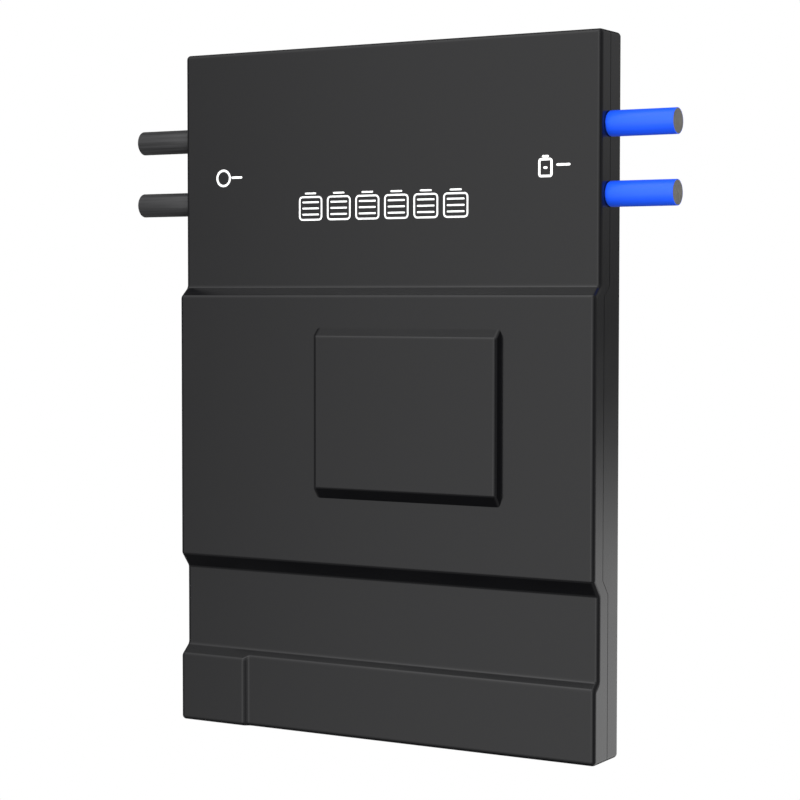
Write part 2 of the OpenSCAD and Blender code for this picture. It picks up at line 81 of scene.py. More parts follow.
def linear(code):
    """sRGB hex such as #1f55ee to linear red, green and blue."""
    s = np.array([int(code[i : i + 2], 16) for i in (1, 3, 5)]) / 255
    return tuple(np.where(s <= 0.04045, s / 12.92, ((s + 0.055) / 1.055) ** 2.4).tolist())


def box_mm(node):
    """Lowest and highest corner of a CAD node in millimetres, as arrays."""
    return tuple(np.array(corner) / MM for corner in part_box(node))


def front_height(x, y):
    """Height of the cover's front over a place, by a ray straight down onto it, in millimetres."""
    above = 2 * CAD_BOX[1][2]
    hit, place, _, _ = frame["nodes"]["front_cover"].ray_cast((x * MM, y * MM, above), (0, 0, -1))
    if not hit:
        raise RuntimeError(f"the cover has no front over {x}, {y}")
    return place[2] / MM


# Surfaces


def grid_quads(rows, cols, loop_rows=False):
    """Quads of a rows by cols grid of points, closed round its columns and, if asked, its rows."""
    i, j = np.meshgrid(np.arange(rows if loop_rows else rows - 1), np.arange(cols), indexing="ij")
    k, m = (i + 1) % rows, (j + 1) % cols
    return np.stack([i * cols + j, i * cols + m, k * cols + m, k * cols + j], -1).reshape(-1, 4)


def grid_surface(points, loop_rows=False):
    """Points of shape rows, cols, 3 as a pair of vertices and quads."""
    return points.reshape(-1, 3), grid_quads(*points.shape[:2], loop_rows)


def around(cols):
    """Angles of cols points round a circle."""
    return np.arange(cols) * (2 * math.pi / cols)


def arc(cx, cy, radius, start, stop, count=7):
    """Points on a circle's arc from start to stop degrees."""
    a = np.radians(np.linspace(start, stop, count))
    return np.stack([cx + radius * np.cos(a), cy + radius * np.sin(a)], -1)


def turned(profile, angles):
    """Profile of radius and height carried round Z: radius times cosine, radius times sine, height."""
    r, h = profile[:, :1], profile[:, 1:]
    return np.stack(np.broadcast_arrays(r * np.cos(angles), r * np.sin(angles), h), -1)


def framed(low, high, corner, profile):
    """Profile of inset, place along Y and share, carried round a rectangle in X and Z with rounded corners.

    Each corner is a quarter circle whose radius shrinks with the inset. A share of 0 draws a row in to the
    rectangle's middle, which closes an end.
    """
    (x0, _, z0), (x1, _, z1) = low, high
    cols, least = 4, 0.01
    inset, y, share = profile[:, :1], profile[:, 1:2], profile[:, 2:]
    r = np.maximum(corner - inset, least)
    quarter = np.repeat(np.arange(4), cols)
    a = np.radians(90 * quarter + np.tile(np.linspace(0, 90, cols), 4))
    side_x, side_z = np.where(quarter % 3 == 0, 1, -1), np.where(quarter < 2, 1, -1)
    x = (x0 + x1) / 2 + share * (side_x * ((x1 - x0) / 2 - inset - r) + r * np.cos(a))
    z = (z0 + z1) / 2 + share * (side_z * ((z1 - z0) / 2 - inset - r) + r * np.sin(a))
    return grid_surface(np.stack(np.broadcast_arrays(x, y, z), -1))


def block(low, high, bevel):
    """Box with every edge bevelled."""
    y0, y1 = low[1], high[1]
    return framed(low, high, bevel, np.array([
        [bevel, y0, 0], [bevel, y0, 1], [0, y0 + bevel, 1],
        [0, y1 - bevel, 1], [bevel, y1, 1], [bevel, y1, 0],
    ]))


def bent_path(corners, radii, steps=5):
    """Path through corners of run and height, with each inner corner a parabola, and its unit directions."""
    p = np.array(corners, float)
    way = np.diff(p, axis=0)
    way /= np.linalg.norm(way, axis=1, keepdims=True)
    u = np.linspace(0, 1, steps)[None, :, None]
    reach = np.array(radii)[:, None, None]
    middle, before, after = p[1:-1, None], way[:-1, None], way[1:, None]
    start, stop = middle - reach * before, middle + reach * after
    bend = (1 - u) ** 2 * start + 2 * u * (1 - u) * middle + u**2 * stop
    turn = (1 - u) * before + u * after
    path = np.concatenate([p[:1], bend.reshape(-1, 2), p[-1:]])
    ways = np.concatenate([way[:1], turn.reshape(-1, 2), way[-1:]])
    return path, ways / np.linalg.norm(ways, axis=1, keepdims=True)


def leg(path, ways, half_w, half_t, chamfer=0.0, taper=0.0, tip=1.0):
    """Bar carried along a bent path, as points of width, run and height.

    Its section has eight corners, half_w either way across and half_t along the path's normal. It grows from
    tip times that to all of it over the length taper, and both ends are closed.
    """
    w, t = half_w - chamfer, half_t - chamfer
    across = np.array([half_w, half_w, w, -w, -half_w, -half_w, -w, w])
    normal = np.array([-t, t, half_t, half_t, t, -t, -half_t, -half_t])
    length = np.concatenate([[0], np.cumsum(np.linalg.norm(np.diff(path, axis=0), axis=1))])
    size = np.interp(length, [0, taper], [tip, 1]) if taper else np.ones(len(path))
    size = np.concatenate([[0], size, [0]])[:, None]
    rows = np.concatenate([[0], np.arange(len(path)), [-1]])
    path, ways = path[rows], ways[rows]
    run = path[:, :1] - size * normal * ways[:, 1:]
    height = path[:, 1:] + size * normal * ways[:, :1]
    return np.stack([size * across, run, height], -1)


def placed(points, x, y, z, quarters=0):
    """Points of width, run and height turned by quarters about Z and moved to a place, as a surface."""
    flat = (points[..., 0] + 1j * points[..., 1]) * 1j**quarters
    return grid_surface(np.stack([x + flat.real, y + flat.imag, z + points[..., 2]], -1))


def new_piece(name, groups, replaces=()):
    """Mesh object in the row frame from pairs of a material and its surfaces, with poles and seams merged."""
    surfaces = [surface for _, group in groups for surface in group]
    starts = np.cumsum([0] + [len(v) for v, _ in surfaces[:-1]])
    verts = np.concatenate([v for v, _ in surfaces]) * MM
    quads = np.concatenate([q + s for (_, q), s in zip(surfaces, starts)])
    finish = np.repeat(np.arange(len(groups)), [sum(len(q) for _, q in group) for _, group in groups])
    mesh = bpy.data.meshes.new(name)
    mesh.from_pydata(verts.tolist(), [], quads.tolist())
    for material, _ in groups:
        mesh.materials.append(material)
    mesh.polygons.foreach_set("material_index", finish.astype(np.int32))
    bm = bmesh.new()
    bm.from_mesh(mesh)
    bmesh.ops.remove_doubles(bm, verts=bm.verts, dist=MERGE * MM)
    bmesh.ops.dissolve_degenerate(bm, edges=bm.edges, dist=MERGE * MM)
    bmesh.ops.recalc_face_normals(bm, faces=bm.faces)
    bm.to_mesh(mesh)
    bm.free()
    mesh.shade_smooth()
    mesh.set_sharp_from_angle(angle=CREASE)
    piece = bpy.data.objects.new(name, mesh)
    bpy.context.scene.collection.objects.link(piece)
    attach(piece, "root")
    if replaces:
        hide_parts(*replaces)


# Materials

# Sockets of a Map Range node, and of a Mix node by number: its factor with two numbers, or with two colours
RAMP = ("Value", "From Min", "From Max", "To Min", "To Max")
MIX_NUMBERS, MIX_COLOURS = (0, 2, 3), (0, 6, 7)
METAL = {"Metallic": 1.0}


def new_material(name):
    """Material with an empty node tree, and that tree."""
    material = bpy.data.materials.new(name)
    material.use_nodes = True
    material.node_tree.nodes.clear()
    return material, material.node_tree


def add(tree, kind, sockets=None, settings=None):
    """Adds a node with its settings; a socket's value is a number, a colour or another node's output."""
    node = tree.nodes.new(kind)
    for key, value in (settings or {}).items():
        setattr(node, key, value)
    for key, value in (sockets or {}).items():
        if isinstance(value, bpy.types.NodeSocket):
            tree.links.new(value, node.inputs[key])
        elif node.inputs[key].type == "RGBA":
            node.inputs[key].default_value = (*value[:3], 1.0)
        else:
            node.inputs[key].default_value = value
    return node


def per_mm(size):
    """Texture scale whose features are about size millimetres across, on Object coordinates in metres."""
    return 1 / (size * MM)


def shaded(colour, share):
    """Colour with each part multiplied by share, at most 1."""
    return tuple(min(1.0, share * part) for part in colour)


def grained(name, colours, rough, grain, depth, stretch=(1, 1, 1), flow=None, sockets=None):
    """Material whose two colours, two roughnesses and height follow a noise of grain millimetres.

    The height is depth millimetres. A small stretch draws the noise out along that axis. Where flow is given,
    the colours and roughnesses follow a slower noise of that size instead. Plating, filler, rolling and
    drawing leave a grain of a few hundredths of a millimetre, which is drawn at 0.1 to 0.2 so that it shows.
    """
    if name in bpy.data.materials:
        return bpy.data.materials[name]
    octaves, least, most, strength = 3.0, 0.3, 0.7, 0.4
    material, tree = new_material(name)
    place = add(tree, "ShaderNodeTexCoord").outputs["Object"]
    drawn = add(tree, "ShaderNodeMapping", {"Vector": place, "Scale": stretch}).outputs[0]
    noise = {"Vector": drawn, "Detail": octaves}
    fine, slow = [
        add(tree, "ShaderNodeTexNoise", {"Scale": per_mm(size), **noise}).outputs[0]
        for size in (grain, flow or grain)
    ]
    tone, roughness = [
        add(tree, "ShaderNodeMapRange", dict(zip(RAMP, (slow, least, most, low, high)))).outputs[0]
        for low, high in ((0, 1), rough)
    ]
    colour = add(tree, "ShaderNodeMix", dict(zip(MIX_COLOURS, (tone, *colours))), {"data_type": "RGBA"})
    relief = add(tree, "ShaderNodeBump", {"Height": fine, "Strength": strength, "Distance": depth * MM})
    shader = add(tree, "ShaderNodeBsdfPrincipled", {
        "Base Color": colour.outputs[2], "Roughness": roughness, "Normal": relief.outputs[0],
        **(sockets or {}),
    })
    add(tree, "ShaderNodeOutputMaterial", {"Surface": shader.outputs[0]})
    return material


def moulded_abs(looks):
    """Black ABS from a spark eroded mould: a fine even grain that softens a clear reflection.

    The real grain is about 0.1 mm wide. The default of looks.grain is coarser, so that it shows.
    """
    spread = 0.015
    return grained(
        "moulded_abs_satin_black", (shaded(looks.colour, 0.85), looks.colour),
        rough=(looks.roughness - spread, looks.roughness + spread), grain=looks.grain / MM, depth=0.0025,
        flow=14, sockets={"IOR": 1.5},
    )


def printed_ink(looks):
    """White pad printing ink: matt, a little uneven where the pad lifted off."""
    return grained(
        "printed_ink_white", (shaded(looks.colour, 0.93), looks.colour),
        rough=(0.5, 0.62), grain=0.5, depth=0.002, sockets={"IOR": 1.5},
    )


def extruded_insulation(name, colour, rough, streak):
    """Extruded insulation: a soft gloss, with lighter and darker die lines along the lead, the X axis.

    The real lines are about 0.1 mm wide, and are drawn at 0.5 mm so that they show.
    """
    spread = 0.03
    return grained(
        name, (shaded(colour, 1 - streak), shaded(colour, 1 + streak)),
        rough=(rough - spread, rough + spread), grain=0.5, depth=0.0375,
        stretch=(0.03, 1, 1), sockets={"IOR": 1.45},
    )


def tinned_strands():
    """Tinned copper strands, cut across: dull grey, with each wire's end a little uneven."""
    return grained(
        "tinned_copper_strands", (linear("#99978f"), linear("#a7a5a1")),
        rough=(0.49, 0.61), grain=0.3, depth=0.004, sockets=METAL,
    )


def tinned_copper():
    """Copper dipped in tin: bright and grey, with the soft waves of a coat that ran before it set."""
    return grained(
        "tin_dipped_copper", (linear("#aaa9a4"), linear("#bdbcb8")),
        rough=(0.29, 0.41), grain=1.5, depth=0.01, sockets=METAL,
    )


def headed_steel():
    """Cold headed steel, black zinc plated: dark, half glossy, with a fine plated grain."""
    return grained(
        "black_zinc_steel_cold_headed", (linear("#434346"), linear("#4a4a4d")),
        rough=(0.34, 0.46), grain=0.2, depth=0.004, sockets=METAL,
    )


def plated_brass(looks):
    """Brass pins with a flash of gold: warm and bright, with draw lines along the pin, the Y axis."""
    return grained(
        "gold_flashed_brass_drawn", (shaded(looks.pin_colour, 0.85), looks.pin_colour),
        rough=(0.22, 0.34), grain=0.1, depth=0.003, stretch=(1, 0.1, 1), sockets=METAL,
    )


def rolled_manganin():
    """Manganin strip: brownish, with rolling lines along X."""
    return grained(
        "manganin_rolled", (linear("#8a755b"), linear("#9a8468")),
        rough=(0.32, 0.44), grain=0.2, depth=0.004, stretch=(0.05, 1, 1), sockets=METAL,
    )


def milled_aluminium():
    """Milled aluminium: pale, with cutter lines along Y that stretch its reflections."""
    return grained(
        "aluminium_milled", (linear("#bfc0c2"), linear("#d2d3d5")),
        rough=(0.29, 0.41), grain=0.4, depth=0.006, stretch=(1, 0.04, 1), sockets=METAL,
    )


def drawn_aluminium():
    """Deep drawn aluminium can: pale, with draw lines up its side, the Z axis."""
    return grained(
        "aluminium_deep_drawn", (linear("#c3c4c6"), linear("#d6d7d9")),
        rough=(0.24, 0.34), grain=0.2, depth=0.003, stretch=(1, 1, 0.05), sockets=METAL,
    )


def moulded_nylon(looks):
    """Natural nylon: ivory, slightly waxy, because some light goes in and comes out again."""
    return grained(
        "nylon_moulded_natural", (shaded(looks.socket_colour, 0.93), looks.socket_colour),
        rough=(0.37, 0.47), grain=0.6, depth=0.0075,
        sockets={"IOR": 1.53, "Subsurface Weight": 0.15, "Subsurface Scale": 0.8 * MM},
    )


def moulded_epoxy():
    """Epoxy moulding compound: black and matt, with the sandy grain of its filler."""
    return grained(
        "epoxy_moulded_black", (linear("#18181a"), linear("#1d1d1f")),
        rough=(0.5, 0.6), grain=0.15, depth=0.0075, sockets={"IOR": 1.55},
    )


def fired_alumina():
    """Alumina chip under a fired black glaze: smooth, with a clear small highlight."""
    return grained(
        "alumina_glazed_black", (linear("#1f1f21"), linear("#252527")),
        rough=(0.25, 0.35), grain=0.4, depth=0.004, sockets={"IOR": 1.6},
    )


def silicone_pad():
    """Filled silicone sheet: grey and dead matt, with the print of its calender roll."""
    return grained(
        "silicone_calendered_grey", (linear("#acafb3"), linear("#bcbfc3")),
        rough=(0.7, 0.8), grain=0.25, depth=0.0075, sockets={"IOR": 1.41},
    )


def masked_laminate():
    """Glass laminate under green solder mask: copper tracks show through as lighter, slightly raised lines.

    The board is split into squares, and each one's random number gives it tracks along Y, along X or none.
    The distance across them runs up and down over each pitch, and there is a track where it is small.
    """
    square, half_pitch, half_track, edge, copper = 8 * MM, 0.9 * MM, 0.25 * MM, 0.05 * MM, 0.035 * MM
    upright_share, tracked_share = 0.4, 0.8
    material, tree = new_material("laminate_solder_masked_green")
    place = add(tree, "ShaderNodeTexCoord").outputs["Object"]
    x, y, _ = add(tree, "ShaderNodeSeparateXYZ", {0: place}).outputs
    corner = add(tree, "ShaderNodeVectorMath", {0: place, 1: (square,) * 3}, {"operation": "SNAP"})
    pick = add(tree, "ShaderNodeTexWhiteNoise", {"Vector": corner.outputs[0]}).outputs["Value"]
    upright, tracked = [
        add(tree, "ShaderNodeMath", {0: pick, 1: share}, {"operation": "LESS_THAN"}).outputs[0]
        for share in (upright_share, tracked_share)
    ]
    across = add(tree, "ShaderNodeMix", dict(zip(MIX_NUMBERS, (upright, y, x)))).outputs[0]
    wave = add(tree, "ShaderNodeMath", {0: across, 1: half_pitch}, {"operation": "PINGPONG"}).outputs[0]
    ramp = (wave, half_track - edge, half_track + edge, 1.0, 0.0)
    line = add(tree, "ShaderNodeMapRange", dict(zip(RAMP, ramp))).outputs[0]
    track = add(tree, "ShaderNodeMath", {0: line, 1: tracked}, {"operation": "MULTIPLY"}).outputs[0]
    greens = (track, linear("#0f4a2a"), linear("#1a6a3a"))
    colour = add(tree, "ShaderNodeMix", dict(zip(MIX_COLOURS, greens)), {"data_type": "RGBA"})
    relief = add(tree, "ShaderNodeBump", {"Height": track, "Strength": 0.5, "Distance": copper})
    shader = add(tree, "ShaderNodeBsdfPrincipled", {
        "Base Color": colour.outputs[2], "Roughness": 0.35, "IOR": 1.52, "Normal": relief.outputs[0],
    })
    add(tree, "ShaderNodeOutputMaterial", {"Surface": shader.outputs[0]})
    return material


# Settings


def colour_setting(name, description, code):
    """Colour property whose default is an sRGB hex."""
    return bpy.props.FloatVectorProperty(
        name=name, description=description, subtype="COLOR", size=3, min=0, max=1, default=linear(code),
    )


def length_setting(name, description, default, least, most):
    """Length property, whose default, least and most are in millimetres."""
    return bpy.props.FloatProperty(
        name=name, description=description, unit="LENGTH", precision=6,
        default=default * MM, min=least * MM, max=most * MM,
    )


class CaseLooks(bpy.types.PropertyGroup):
    """Finish of the moulded case."""

    colour: colour_setting("Case colour", "Colour of the moulded plastic", "#08080a")
    roughness: bpy.props.FloatProperty(
        name="Case roughness", description="Softness of the case's reflections",
        subtype="FACTOR", min=0.05, max=1, default=0.2,
    )
    grain: length_setting("Mould grain", "Width of the grain that the mould leaves", 0.3, 0.05, 2)


class PrintLooks(bpy.types.PropertyGroup):
    """White marks printed on the lead section."""

    colour: colour_setting("Ink colour", "Colour of the printed marks", "#fbfbfa")
    stroke: length_setting("Stroke", "Width of a printed line", 0.55, 0.1, 2)
    height: length_setting("Ink height", "Height of the ink over the case", 0.03, 0.005, 0.2)
    signs: bpy.props.IntProperty(
        name="Cell signs", description="Number of cell signs in the row",
        min=1, max=8, default=6,
    )


class LeadLooks(bpy.types.PropertyGroup):
    """Insulation and conductors of the four leads."""

    cell_colour: colour_setting("Cell lead colour", "Colour of the insulation on the cell side", "#1a53ea")
    load_colour: colour_setting("Load lead colour", "Colour of the insulation on the load side", "#2c2c2d")
    lip: length_setting("Cut lip", "Rounding of the insulation's cut end", 0.1, 0.02, 0.4)
    strand: length_setting("Strand", "Diameter of one wire of the conductor", 0.3, 0.1, 1)


class FixingLooks(bpy.types.PropertyGroup):
    """Screws, socket shells and socket pins."""

    thread_pitch: length_setting("Thread pitch", "Pitch of the self tapping thread", 1.0, 0.3, 2)
    socket_colour: colour_setting("Socket colour", "Colour of the socket shells", "#e9e4d6")
    socket_lip: length_setting("Socket lip", "Rounding of the mouth of a socket", 0.15, 0.02, 0.3)
    pin_colour: colour_setting("Pin colour", "Colour of the plating on the socket pins", "#e6c67c")
    pin_taper: length_setting("Pin taper", "Length of the tapered tip of a socket pin", 0.6, 0.1, 2)


class PartLooks(bpy.types.PropertyGroup):
    """Parts soldered on the board."""

    package_bevel: length_setting("Package bevel", "Bevel along a transistor's edges", 0.35, 0.05, 1)
    chip_bevel: length_setting("Chip bevel", "Bevel along the edges of small parts", 0.08, 0.01, 0.3)


class StageLooks(bpy.types.PropertyGroup):
    """Camera, floor and light."""

    lens: bpy.props.FloatProperty(
        name="Lens", description="Focal length of the camera",
        unit="CAMERA", min=20, max=300, default=98.14,
    )
    key_power: bpy.props.FloatProperty(
        name="Key power", description="Power of the softbox beyond the lead end",
        unit="POWER", min=0, max=500, default=31,
    )
    fill_power: bpy.props.FloatProperty(
        name="Fill power", description="Power of the softbox beyond the socket end",
        unit="POWER", min=0, max=500, default=12,
    )
    floor_colour: colour_setting("Floor colour", "Colour of the pale floor", "#ffffff")


GROUPS = {
    "board_case": CaseLooks,
    "board_print": PrintLooks,
    "board_leads": LeadLooks,
    "board_fixings": FixingLooks,
    "board_parts": PartLooks,
    "board_stage": StageLooks,
}


# Printed marks

# Ring on the load side: its place in from the case's side and below the middle of the leads, its radius, and
# the start, stop and drop of the dash beside it
RING_IN, RING_DROP, RING_R = 10.6, 1.75, 1.75
RING_DASH = (2.2, 5.2, 1.65)
# Cell on the cell side: its place in the same way, its width and height, and its dash
CELL_IN, CELL_DROP, CELL_W, CELL_H = 12.95, 1.4, 3.4, 4.7
CELL_DASH = (2.55, 5.85, 1.15)
# Row of cells: place of its middle, its width and height, a cell's share of the pitch and of a full stroke
ROW_X, ROW_DROP, ROW_W, ROW_H = -0.1, 8.7, 44.6, 6.3
ROW_FILL, ROW_STROKE = 0.834, 0.75


def stroke(path, width, height, closed=False):
    """Inked line: a low domed profile carried along a path in X and Y, on a front at height 0.

    Across the line the height follows the profile below; an open line narrows to a half circle at each end.
    """
    step = np.roll(path, -1, 0) - np.roll(path, 1, 0) if closed else np.gradient(path, axis=0)
    along = step / np.linalg.norm(step, axis=1, keepdims=True)
    across = np.stack([-along[:, 1], along[:, 0]], -1)
    half = np.full(len(path), width / 2)
    if not closed:
        run = np.concatenate([[0], np.cumsum(np.linalg.norm(np.diff(path, axis=0), axis=1))])
        inside = np.clip(np.minimum(run, run[-1] - run) / (width / 2), 0, 1)
        half = half * np.sqrt(1 - (1 - inside) ** 2)
    side = np.array([-1, -0.9, -0.6, 0, 0.6, 0.9, 1, 0.6, -0.6])
    rise = np.array([-0.3, 0.6, 0.95, 1, 0.95, 0.6, -0.3, -0.6, -0.6]) * height
    flat = path[:, None, :] + across[:, None, :] * (half[:, None] * side)[:, :, None]
    level = np.broadcast_to(rise, flat.shape[:2])
    return grid_surface(np.concatenate([flat, level[:, :, None]], -1), loop_rows=closed)


def bar(x0, x1, y, width, height):
    """Straight inked line along X, with its points close together at the rounded ends."""
    ease = (1 - np.cos(np.linspace(0, math.pi, 33))) / 2
    x = x0 + (x1 - x0) * ease
    return stroke(np.stack([x, np.full_like(x, y)], -1), width, height)


def ring(cx, cy, radius, width, height):
    """Inked circle."""
    return stroke(arc(cx, cy, radius, 0, 360, 65)[:-1], width, height, closed=True)


def frame_line(cx, cy, w, h, corner, width, height):
    """Inked rectangle with rounded corners: four quarter arcs joined by straight runs."""
    x, y = w / 2 - corner, h / 2 - corner
    path = np.concatenate([
        arc(cx + x, cy + y, corner, 0, 90), arc(cx - x, cy + y, corner, 90, 180),
        arc(cx - x, cy - y, corner, 180, 270), arc(cx + x, cy - y, corner, 270, 360),
    ])
    return stroke(path, width, height, closed=True)


def cell_sign(cx, cy, w, h, width, height, levels):
    """Upright cell: a rounded frame, a short cap over it and level bars inside it."""
    body, corner, cap, margin = 0.87 * h, 0.12 * w, 0.24 * w, 2.2 * width
    low, inner = cy - h / 2, w / 2 - margin
    bars = [low + body * (k + 1) / (levels + 1) for k in range(levels)]
    return [
        frame_line(cx, low + body / 2, w - width, body - width, corner, width, height),
        bar(cx - cap, cx + cap, cy + h / 2 - width / 2, width, height),
        *[bar(cx - inner, cx + inner, y, width, height) for y in bars],
    ]


# Leads

# Cut end of a lead: flat of the insulation's rim, and depth over which the strands spread into it
RIM = 0.05
FLARE = 0.3
# Gap between the case and the insulation's full width, and depth of the nip that the case makes
NIP_OUT = 0.2
NIP_DEPTH = 0.2
# Bare length of conductor before the insulation, and length over which the flat tail swells to round
BARE = 1.2
SWELL = 2.2


def jacket(side, x_in, x_nip, x_out, y, z, radii, lip):
    """Insulation turned about the lead's axis: nipped inside the case, full outside, with a rounded cut lip.

    The profile is a closed loop of radius and distance along X, so the surface is a closed ring.
    """
    core, nip, full = radii
    ease, edge = 0.05, 0.1
    profile = np.concatenate([
        [[x_in, core], [x_in, nip], [x_nip - ease, nip], [x_nip, nip + ease], [x_nip, full - edge]],
        arc(x_nip + edge, full - edge, edge, 180, 90, 4),
        [[(x_nip + x_out) / 2, full]], arc(x_out - lip, full - lip, lip, 90, 0, 6),
        [[x_out, full - lip - RIM], [x_out - FLARE, core], [(x_in + x_out) / 2, core]],
    ])
    ring_y, ring_z, along = np.moveaxis(turned(profile[:, ::-1], around(96)), -1, 0)
    return grid_surface(np.stack([side * along, y + ring_y, z + ring_z], -1), loop_rows=True)


def to_strand(y, z, pitch):
    """Distance to the nearest wire of a hexagonal bundle: the nearer of its two rectangular lattices."""
    tall = pitch * math.sqrt(3)
    even = np.hypot(y - pitch * np.round(y / pitch), z - tall * np.round(z / tall))
    y, z = y - pitch / 2, z - tall / 2
    odd = np.hypot(y - pitch * np.round(y / pitch), z - tall * np.round(z / tall))
    return np.minimum(even, odd)


def conductor(side, x_tail, x_bare, x_out, y, z, radius, cut_r, tail, strand):
    """Stranded conductor along X: a soldered flat tail that swells into a round bundle with twisted ridges.

    Each station's outline is a superellipse whose half width, half height, middle and power run from the
    tail's to the bundle's. The cut face sinks with the square of the distance to the nearest wire.
    """
    half_w, half_h, tail_z = tail
    ridges, ridge_depth, twist, sunk, most_sunk = 24, 0.02, 0.12, 0.06, 1.1
    flat_power, round_power = 8, 2
    tip_shares = np.array([0.0, 0.5, 0.85, 0.97])[:, None, None]
    a = around(144)
    x = np.concatenate([
        np.linspace(x_tail, x_bare - SWELL, 6),
        np.linspace(x_bare - SWELL, x_bare, 9)[1:],
        np.linspace(x_bare, x_out - FLARE, 40)[1:], [x_out],
    ])[:, None]
    t = np.clip((x - x_bare + SWELL) / SWELL, 0, 1)
    t = t * t * (3 - 2 * t)
    power = 2 / (flat_power * (1 - t) + round_power * t)
    flared = x > x_out - FLARE / 2
    end_r = radius + (cut_r - radius) * flared
    wide, high = half_w + (end_r - half_w) * t, half_h + (end_r - half_h) * t
    middle = tail_z + (z - tail_z) * t
    wave = (1 - np.cos(ridges * (a - twist * (x - x_bare)))) / 2
    size = 1 - ridge_depth * t * ~flared * wave
    round_y, round_z = [np.sign(v) * np.abs(v) ** power for v in (np.cos(a), np.sin(a))]
    barrel = np.stack(np.broadcast_arrays(x, y + size * wide * round_y, middle + size * high * round_z), -1)
    share = np.linspace(1, 0, 34)[1:, None]
    face_y, face_z = cut_r * share * np.cos(a), cut_r * share * np.sin(a)
    sink = sunk * np.clip(to_strand(face_y, face_z, strand) / (strand / 2), 0, most_sunk) ** 2
    face = np.stack([x_out - sink * (share > 0), y + face_y, z + face_z], -1)
    middle_of_tail = np.array([x_tail, y, tail_z])
    tip = middle_of_tail + (barrel[0] - middle_of_tail) * tip_shares
    points = np.concatenate([tip, barrel, face])
    points[:, :, 0] *= side
    return grid_surface(points)


# Screws and sockets

# Case screw: radius and height of the head, radius of the shank
HEAD_R, HEAD_H, SHANK_R = 2.3, 1.4, 1.25
# Socket shell: thickness of the walls and of the back, rounding of the outer corners
SHELL_WALL, SHELL_BACK, SHELL_CORNER = 0.8, 1.5, 0.35
# Side of a socket pin's square section, and pins in each socket
PIN_SIZE = 0.5
PIN_COUNTS = {"sense": 17, "signal": 4}


def cross_outline(reach, half):
    """Outline of a cross as complex numbers: straight runs round one quarter, turned four times."""
    runs = [0, 2, 7, 12, 14]
    step = np.arange(runs[-1])
    x = np.interp(step, runs, [reach, reach, half, half, 0])
    y = np.interp(step, runs, [0, half, half, reach, reach])
    return np.concatenate([(x + 1j * y) * 1j**k for k in range(4)])


def screw(cx, cy, z_head, z_tip, pitch):
    """Self tapping screw, head down: a domed head with a cross recess, a helical thread and a blunt tip.

    Head face: rows of a cross that shrinks as it sinks, then rows that pass from the cross to a circle on a
    dome. Thread: radius falls with the distance from the helix, a triangle wave of height less angle over a
    turn. All rows share the angles of the cross's points.
    """
    edge, crown, chamfer, fillet = 0.25, 0.12, 0.05, 0.2
    depth, crest, flank = 0.32, 0.1, 3
    tip_l, tip_share, fade_l = 0.2, 0.82, 1.2
    # Rows of the head's face: size of the cross, share of the rim, depth
    rows = np.array([
        [0, 0, 0.85], [0.72, 0, 0.8], [0.97, 0, 0.06], [1.03, 0, 0],
        [0.6, 0.4, 0], [0.25, 0.75, 0], [0, 1, 0],
    ])
    of_cross, of_rim, sink = rows.T[:, :, None]
    cross = cross_outline(reach=1.45, half=0.33)
    a = np.angle(cross)
    flat = of_cross * cross + of_rim * (HEAD_R - edge) * cross / np.abs(cross)
    face = np.stack([flat.real, flat.imag, z_head + crown * (np.abs(flat) / HEAD_R) ** 2 + sink], -1)
    top = z_head + HEAD_H
    head = turned(np.concatenate([
        arc(HEAD_R - edge, z_head + crown + edge, edge, -75, 0, 6),
        [[HEAD_R, top - chamfer], [HEAD_R - chamfer, top], [SHANK_R + fillet, top]],
        arc(SHANK_R + fillet, top + fillet, fillet, -90, -180, 4),
    ]), a)
    z = np.linspace(top + fillet + chamfer, z_tip - tip_l, 88)[:, None]
    wave = np.abs((z / pitch - a / (2 * math.pi)) % 1 - 0.5)
    fade = np.clip((z_tip - tip_l - z) / fade_l, 0, 1)
    r = (SHANK_R - depth * np.clip(flank * wave - crest, 0, 1)) * (tip_share + (1 - tip_share) * fade)
    thread = np.stack(np.broadcast_arrays(r * np.cos(a), r * np.sin(a), z), -1)
    share = np.array([0.8, 0.4, 0.0])[:, None, None]
    end = thread[-1] * share + [0, 0, 1] * (z_tip - tip_l * share**2 - thread[-1, 0, 2] * share)
    return grid_surface(np.concatenate([face, head, thread, end]) + [cx, cy, 0])


def shroud(low, high, lip):
    """Socket shell, open towards -Y: a profile of inset and depth carried round a rectangle.

    The profile runs from the back over the outside to the mouth, round its lip, and in to the back wall.
    """
    y0, y1 = low[1], high[1]
    inner = y1 - SHELL_BACK
    rows = np.concatenate([
        [[lip, y1], [0, y1 - lip]], arc(lip, y0 + lip, lip, 180, 270, 4),
        [[SHELL_WALL - lip, y0], [SHELL_WALL, y0 + 2 * lip]],
        [[SHELL_WALL, inner - lip], [SHELL_WALL + lip, inner]],
    ])
    profile = np.vstack([[*rows[0], 0], np.column_stack([rows, np.ones(len(rows))]), [*rows[-1], 0]])
    return framed(low, high, SHELL_CORNER, profile)


def keys(low, high):
    """Two ribs under the upper wall of a socket, which keep its plug from going in upside down."""
    w, h, start, joined, bevel = 0.9, 0.55, 1.2, 0.1, 0.12
    middle, reach = (low[0] + high[0]) / 2, (high[0] - low[0]) / 4
    y0, y1 = low[1] + start, high[1] - SHELL_BACK + joined
    z = high[2] - SHELL_WALL
    return [
        block((x - w / 2, y0, z - h), (x + w / 2, y1, z + joined), bevel)
        for x in (middle - reach, middle + reach)
    ]


